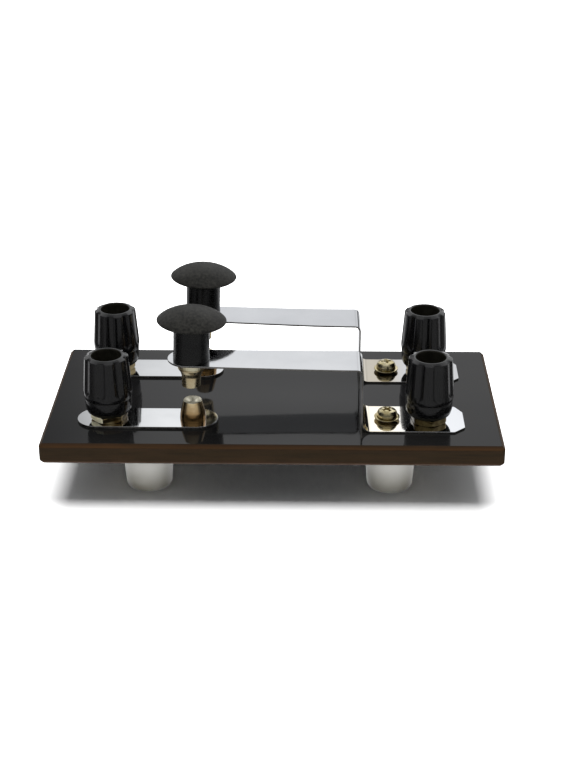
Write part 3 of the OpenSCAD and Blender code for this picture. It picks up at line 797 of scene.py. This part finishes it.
def washer(bm, ro, ri, t, at, warp=0.0, phase=0.0):
    prof = rounded([(ri, 0), (ro, 0), (ro, t), (ri, t)], [t * 0.1, t * 0.3, t * 0.35, t * 0.2], 3, closed=True)
    n0 = len(bm.verts)
    tmp = bmesh.new()
    lathe(tmp, prof, 96, closed=True)
    for v in tmp.verts:
        r = math.hypot(v.co.x, v.co.y)
        a = math.atan2(v.co.y, v.co.x)
        if warp and v.co.z > t * 0.5 or warp:
            k = max(0.0, (r - ri) / (ro - ri))
            v.co.z += warp * k * k * (0.5 + 0.5 * math.cos(3 * a + phase))
    join_bm(bm, tmp, Matrix.Translation(at))


def make_clamp_screws():
    bm = bmesh.new()
    wb = bmesh.new()
    for key, turn in (("front", 0.62), ("rear", 0.15)):
        x, y, z = CLAMP_X[key], SIDE[key] * STRIP_Y, TOP + T_STRIP
        # dished washer: the small side on the strip, the wide rim raised
        lathe(wb, rounded([(2.06, 0), (2.9, 0), (4.18, 0.78), (4.2, 1.08), (3.6, 1.15), (2.06, 1.15)],
                          [0.05, 0.1, 0.12, 0.1, 0.2, 0.05], 4, closed=True), 96, closed=True, at=(x, y, z))
        head = screw_head(3.4, 2.6, 1.85, turn)
        join_bm(bm, head, Matrix.Translation((x, y, z + 1.15)))
        shank(bm, 1.96, z - BOARD_T - T_STRIP - 9, z + 1.2, thread=0.7, at=(x, y, 0))
    finish_mesh(bm, "clamp_screw_pair", [M["zinc"]], "base", ["clamp_screws"])
    # the washers' underside and outer side are painted dark: painted shade under the raised rim
    finish_mesh(wb, "clamp_washer_pair", [M["zinc"], M["under_rim_shade"]], "base", ["clamp_washers"], pick=lambda f: 1 if f.normal.z < 0.15 else 0)


def make_under_screws():
    bm = bmesh.new()
    wb = bmesh.new()
    for key, turn in (("front", 0.4), ("rear", 1.1)):
        x, y = KNOB_X[key], SIDE[key] * LANE
        zb = FOOT_H - 0.6
        head = screw_head(2.9, 2.1, 1.5, turn)
        join_bm(bm, head, Matrix.Translation((x, y, zb)) @ Matrix.Rotation(math.pi, 4, "X"))
        shank(bm, 1.5, zb - 0.05, zb + 11.6, at=(x, y, 0), thread=0.5)
        washer(wb, 3.5, 1.6, 0.6, (x, y, zb))
    finish_mesh(bm, "contact_screw_pair", [M["zinc"]], "base", ["contact_screws"])
    finish_mesh(wb, "contact_washer_pair", [M["dull"]], "base", ["contact_washers"])
    bm = bmesh.new()
    for i, turn in ((0, 0.9), (2, 0.3)):
        x, y = FOOT_POS[i]
        head = screw_head(3.3, 2.4, 1.8, turn)
        join_bm(bm, head, Matrix.Translation((x, y, 7.5)) @ Matrix.Rotation(math.pi, 4, "X"))
        shank(bm, 1.75, 7.45, FOOT_H + 5, at=(x, y, 0), thread=0.8)
    finish_mesh(bm, "foot_screw_pair", [M["zinc"]], "base", ["foot_screws"])


def hex_ring(bm, af, h, ri, at, turn, chamfer=0.35, both=True):
    """Hexagonal ring with turned corners and a bore."""
    R = af / math.sqrt(3)
    n = 96
    def hexr(a):
        a = (a % (math.pi / 3)) - math.pi / 6
        r = (af / 2) / math.cos(a)
        soft = R - 0.10                     # corners broken a little
        return r if r < soft else soft + (r - soft) * 0.25
    levels = []
    k = math.tan(30 * DEG)
    for z in [0, 0.06, 0.15, 0.28, 0.45, 0.6]:
        levels.append(z)
    zs = levels + [h * 0.5] + [h - z for z in reversed(levels)]
    loops = []
    def ring_at(rf, z):
        return [(at[0] + rf(2 * math.pi * i / n) * math.cos(2 * math.pi * i / n + turn),
                 at[1] + rf(2 * math.pi * i / n) * math.sin(2 * math.pi * i / n + turn), at[2] + z) for i in range(n)]
    for z in zs:
        top = af / 2 - chamfer * 0.3 + (h - z) / k
        low = af / 2 - chamfer * 0.3 + z / k if both else 99
        loops.append(ring_at(lambda a, t=top, l=low: min(hexr(a), t, l), z))
    inner = [ri + 0.2, ri, ri, ri + 0.2]
    izs = [h, h - 0.2, 0.2, 0]
    for r, z in zip(inner, izs):
        loops.append(ring_at(lambda a, r=r: r, z))
    add_loops(bm, loops, close=True)


def make_terminal_hardware():
    bm, wb, nb = bmesh.new(), bmesh.new(), bmesh.new()
    for i in range(4):
        x, y = POST_X[i], POST_Y[i]
        hex_ring(bm, 10.7, COLLAR_H, 3.0, (x, y, TOP + POST_BASE[i]), COLLAR_TURN[i] * DEG)
        washer(wb, 3.5, 2.05, 0.8, (x, y, FOOT_H - 0.8))
        hex_ring(nb, 7.0, 3.2, 2.0, (x, y, FOOT_H - 0.8 - 3.2), 30 * DEG)
    def pale(f):                         # painted highlight: a pale, nearly non-metallic facet at the front left that catches light; painted shade: the front right collar's facets towards the viewer
        q = f.calc_center_median()
        if q.x > 0 and q.y < 0 and f.normal.y < 0.2 and f.normal.x < 0.5:
            return 2
        return 1 if q.x < POST_X[0] + 8 and q.y < 0 and f.normal.x * math.cos(-133.5 * DEG) + f.normal.y * math.sin(-133.5 * DEG) > 0.93 else 0
    finish_mesh(bm, "terminal_collar_set", [M["brass"], M["pale"], M["deep"]], "base", ["terminal_collars"], pick=pale)
    finish_mesh(wb, "terminal_washer_set", [M["dull"]], "base", ["terminal_washers"])
    finish_mesh(nb, "terminal_nut_set", [M["brass"]], "base", ["terminal_nuts"])


# ---------------------------------------------------------------- terminal caps

def softmin(a, b, k):
    h = max(0.0, min(1.0, 0.5 + 0.5 * (b - a) / k))
    return b + (a - b) * h - k * h * (1 - h)


def make_cap(i):
    h = TERMINAL_H - (POST_BASE[i] + COLLAR_H + 0.6)
    n_fl, per = 8, 36
    n = n_fl * per
    top_r, c = 7.1, 7.95
    wide_z, flute_z = 7.6, 7.05
    depth, rf, tail = 0.6, 3.1, 1.5       # flute depth, its radius, length of its round end
    prof = rounded([(5.5, -0.5), (c - 1.6, -0.5), (c - 0.95, 0.05), (c - 0.52, 0.95), (c - 0.32, 2.1), (c - 0.26, 3.5), (c - 0.25, 4.9), (c - 0.34, 4.99),
                    (c - 0.22, 5.12), (c - 0.10, 5.6), (c, 6.3), (c, wide_z)],
                   [0, 0.3, 0.5, 0.9, 1.5, 1.5, 0.04, 0.03, 0.06, 0.6, 0.8, 0], 3)[:-1]
    slope = (top_r - c) / (h - 0.8 - wide_z)
    def cone(z):
        return c + slope * max(0.0, z - wide_z)
    rows = [(r, z) for r, z in prof]
    z = wide_z - 0.6
    rows = [q for q in rows if q[1] < z - 1e-6]
    while z < flute_z + tail + 0.2:
        rows.append((cone(z), z))
        z += 0.09
    while z < h - 1.2:
        rows.append((cone(z), z))
        z += 0.75
    rows += rounded([(cone(h - 1.1), h - 1.1), (cone(h - 0.8), h - 0.8), (top_r - 0.2, h - 0.58), (top_r - 1.60, h - 0.02), (5.42, h)],
                    [0, 0.15, 0.2, 0.10, 0], 3)
    loops = []
    turn = CAP_TURN[i] * DEG
    x0, y0, z0 = POST_X[i], POST_Y[i], TOP + TERMINAL_H - h
    def ring_at(fn, z):
        return [(x0 + fn(2 * math.pi * j / n) * math.cos(2 * math.pi * j / n + turn),
                 y0 + fn(2 * math.pi * j / n) * math.sin(2 * math.pi * j / n + turn), z0 + z) for j in range(n)]
    step = 2 * math.pi / n_fl
    for r, z in rows:
        if z <= flute_z + 1e-6 or r < 5.6:
            loops.append(ring_at(lambda a, r=r: r, z))
            continue
        body = cone(z)
        cc = body - depth + rf
        # the flute narrows to a round end
        k = 1.0 if z > flute_z + tail else math.sqrt(max(0.0, 1 - ((flute_z + tail - z) / tail) ** 2))
        def outer(a, r=r, cc=cc, k=k):
            a = (a + step / 2) % step - step / 2
            if k < 0.05:
                return r
            q = a / k
            s = cc * math.sin(q) if abs(q) < 0.5 else 99
            if abs(s) > rf:
                return r
            return softmin(r, cc * math.cos(q) - math.sqrt(rf * rf - s * s), 0.07)
        loops.append(ring_at(outer, z))
    # rim, mouth and bore
    inner = [(5.18, h), (5.06, h - 0.03), (4.95, h - 0.12), (4.88, h - 0.26), (4.86, h - 0.5), (4.86, h - 0.95), (4.86, 12.0), (4.86, 8.0), (4.86, 4.7),
             (4.80, 4.52), (4.6, 4.5), (4.5, 4.45), (4.5, 2.0), (4.5, 0.1), (4.6, 0.0), (5.05, 0.0), (5.1, -0.05), (5.1, -0.42), (5.2, -0.5)]
    for r, z in inner:
        loops.append(ring_at(lambda a, r=r: r, z))
    bm = bmesh.new()
    add_loops(bm, loops, close=True)
    def inside(f):
        q = f.calc_center_median()
        if f.normal.z < -0.25 and math.hypot(q.x - x0, q.y - y0) > 4.95:
            return 2
        return 1 if math.hypot(q.x - x0, q.y - y0) < 4.95 and q.z - z0 > 0.2 else 0
    name = POSTS[i] + "_fluted_cap"
    return finish_mesh(bm, name, [M["cap"], M["bore"], M["skirt"]], POSTS[i] + "_cap", [POSTS[i] + "_cap"], pick=inside)


# ---------------------------------------------------------------- feet

def make_foot(i):
    x, y = FOOT_POS[i]
    rb, rt, r = 7.6, 8.4, 1.4
    outer = [(rt - 0.2, FOOT_H), (rt, FOOT_H - 0.2)] + rounded([(rt, FOOT_H - 1.0), (rt, FOOT_H * 0.7), (rb + 0.06, 2.2)], [0, 6.0, 0], 6)
    edge = [(rb - r + r * math.cos(a), r - r * math.sin(a)) for a in [math.pi / 2 * k / 10 for k in range(0, 11)]]
    if i in (0, 2):        # screwed from below through a counterbore
        under = rounded([(4.35, 0), (4.0, 0.35), (4.0, 7.5), (1.85, 7.5), (1.85, FOOT_H)], [0.1, 0.1, 0.2, 0.1, 0], 3)
    else:                  # closed, with a shallow moulded dish
        under = [(4.6, 0.0), (4.4, 0.06), (4.2, 0.22), (3.9, 0.32), (3.0, 0.36), (1.2, 0.38), (0, 0.38)]
    bm = bmesh.new()
    if i in (0, 2):
        lathe(bm, outer + edge + under, 96, closed=True, at=(x, y, 0))
    else:
        lathe(bm, [(0, FOOT_H)] + outer + edge + under, 96, at=(x, y, 0))
    name = POSTS[i] + "_foot_moulded"
    return finish_mesh(bm, name, [M["milky"]], "base", [POSTS[i] + "_foot"])


# ---------------------------------------------------------------- build

make_board()
for key in ("front", "rear"):
    make_plate(key)
    make_fixed_contact(key)
    make_moving_contact(key)
    make_knob(key)
    make_strip(key)
make_clamp_screws()
make_under_screws()
make_terminal_hardware()
for i in range(4):
    make_cap(i)
    make_foot(i)

# carried-over pieces keep their shape and get the finish of their slot
for name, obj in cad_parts.items():
    if obj.hide_render:
        continue
    obj.data.materials.clear()
    if name.endswith(("_stud",)) and "knob" in name:
        obj.data.materials.append(M["zinc"])
    else:
        obj.data.materials.append(M["brass"])


# ---------------------------------------------------------------- floor, light, camera

def floor_paper(tree, bsdf):
    v = coords(tree)
    n = noise_tex(tree, v, 3, 2)
    tree.links.new(ramp(tree, n, [(0.3, (0.88, 0.88, 0.88)), (0.7, (0.90, 0.90, 0.90))]), bsdf.inputs["Base Color"])


bm = bmesh.new()
bmesh.ops.create_grid(bm, x_segments=8, y_segments=8, size=3.0)
me = bpy.data.meshes.new("floor")
bm.to_mesh(me)
bm.free()
floor = bpy.data.objects.new("floor", me)
bpy.context.scene.collection.objects.link(floor)
me.materials.append(material("floor_paper", floor_paper, Roughness=0.9, Specular_IOR_Level=0.1))

# reflections see the studio's own lower half, a little darker towards the viewer
floor.visible_glossy = False

world = bpy.data.worlds.new("studio")
bpy.context.scene.world = world
world.use_nodes = True
wt = world.node_tree
bg = wt.nodes["Background"]
tc = wt.nodes.new("ShaderNodeTexCoord")
sep = wt.nodes.new("ShaderNodeSeparateXYZ")
wt.links.new(tc.outputs["Generated"], sep.inputs[0])
wx, wy, wz = sep.outputs[0], sep.outputs[1], sep.outputs[2]


def grey_ramp(fac, stops):
    """Brightness by position, up to 4.0."""
    lo, hi = stops[0][0], stops[-1][0]
    t = spread(wt, fac, 0.0, 1.0, lo, hi)
    col = ramp(wt, t, [((p - lo) / (hi - lo), (v / 4, v / 4, v / 4)) for p, v in stops])
    return math_node(wt, "MULTIPLY", axis(wt, col, 0), 4.0)


# bearing in turns: 0 straight behind the object, negative to the left, half a turn towards the viewer
bearing = math_node(wt, "MULTIPLY", math_node(wt, "ARCTAN2", wx, wy), 1 / (2 * math.pi))


def by_bearing(stops):
    return grey_ramp(bearing, [(a / 360, v) for a, v in stops])


upper = grey_ramp(wz, [(0.0, 0.06), (0.13, 0.10), (0.19, 0.70), (0.24, 0.98), (0.30, 1.0), (0.42, 1.0), (0.46, 1.10), (0.55, 1.20), (0.74, 1.10), (0.84, 0.75), (1.0, 0.6)])
round_about = by_bearing([(-180, 0.14), (-125, 0.10), (-95, 0.14), (-60, 0.24), (-42, 0.95), (-20, 0.95), (-14, 0.34), (-10.4, 0.36), (-9.2, 0.74), (-7.0, 1.02),
                          (-5.1, 1.16), (0, 1.20), (4.6, 1.12), (6.9, 1.07), (14, 1.0), (17, 1.25), (25, 1.25), (29, 1.0), (40, 1.0), (60, 0.72), (80, 0.34), (105, 0.11), (130, 0.10), (180, 0.14)])
overhead = spread(wt, wz, 0.0, 1.0, 0.70, 0.88)
# a bright low band towards the viewer, which the contacts mirror
front = math_node(wt, "MULTIPLY", by_bearing([(-180, 0.80), (-130, 0.70), (-112, 0.0), (112, 0.0), (130, 0.70), (180, 0.80)]), grey_ramp(wz, [(0.0, 0.95), (0.10, 1.0), (0.17, 0.0), (1.0, 0.0)]))
fill = math_node(wt, "MULTIPLY", by_bearing([(-180, 0.34), (-140, 0.34), (-118, 0.0), (118, 0.0), (140, 0.34), (180, 0.34)]), grey_ramp(wz, [(0.0, 0.0), (0.36, 0.0), (0.42, 1.0), (0.58, 1.0), (0.64, 0.0), (1.0, 0.0)]))
front = math_node(wt, "MAXIMUM", front, fill)
sky = math_node(wt, "MAXIMUM", math_node(wt, "MULTIPLY", upper, math_node(wt, "MAXIMUM", round_about, overhead)), front)
ground = by_bearing([(-180, 0.42), (-128, 0.38), (-108, 0.12), (-84, 0.12), (-70, 0.55), (-45, 0.95), (-20, 1.0), (0, 1.0), (45, 1.0), (62, 0.60), (80, 0.14), (104, 0.14), (124, 0.40), (180, 0.42)])
below = spread(wt, wz, 1.0, 0.0, -0.03, 0.01)
level = math_node(wt, "ADD", math_node(wt, "MULTIPLY", ground, below), math_node(wt, "MULTIPLY", sky, math_node(wt, "SUBTRACT", 1.0, below)))
wt.links.new(mix_col(wt, 1.0, (0.985, 0.99, 1.0), level, "MULTIPLY"), bg.inputs["Color"])
bg.inputs["Strength"].default_value = 1.0


def area(name, size, loc, target, power, colour=(1, 1, 1)):
    data = bpy.data.lights.new(name, "AREA")
    data.shape = "RECTANGLE"
    data.size, data.size_y = size
    data.energy = power
    data.color = colour
    o = bpy.data.objects.new(name, data)
    bpy.context.scene.collection.objects.link(o)
    o.location = loc
    o.rotation_euler = (Vector(target) - Vector(loc)).to_track_quat("-Z", "Y").to_euler()
    return o


area("softbox_top", (1.9, 1.8), (-0.03, 0.16, 2.0), (-0.03, 0.16, 0.0), 112.0).visible_glossy = False

cam_data = bpy.data.cameras.new("camera")
cam_data.sensor_fit = "AUTO"
cam_data.sensor_width = 36
cam_data.lens = 1521.944 * 36 / 768
cam_data.clip_start = 0.01
cam_data.clip_end = 20
cam_data.dof.use_dof = False
camera = bpy.data.objects.new("camera", cam_data)
bpy.context.scene.collection.objects.link(camera)
yaw, roll = -1.013 * DEG, -0.069 * DEG
fwd = Vector((-0.01591604, 0.90045812, -0.43465141)).normalized()
right = Vector((math.cos(yaw), -math.sin(yaw), 0))
right = (right - fwd * right.dot(fwd)).normalized()
upv = right.cross(fwd)
r2 = right * math.cos(roll) + upv * math.sin(roll)
u2 = upv * math.cos(roll) - right * math.sin(roll)
target = Vector((4.562, 8.430, TOP)) * MM
eye = target - fwd * 527.944 * MM
rot = Matrix((r2, u2, -fwd)).transposed().to_4x4()
camera.matrix_world = Matrix.Translation(eye) @ rot
bpy.context.scene.camera = camera

bpy.context.scene.view_settings.view_transform = "Standard"
bpy.context.scene.view_settings.look = "None"
bpy.context.scene.view_settings.exposure = 0.0
bpy.context.scene.view_settings.gamma = 1.0
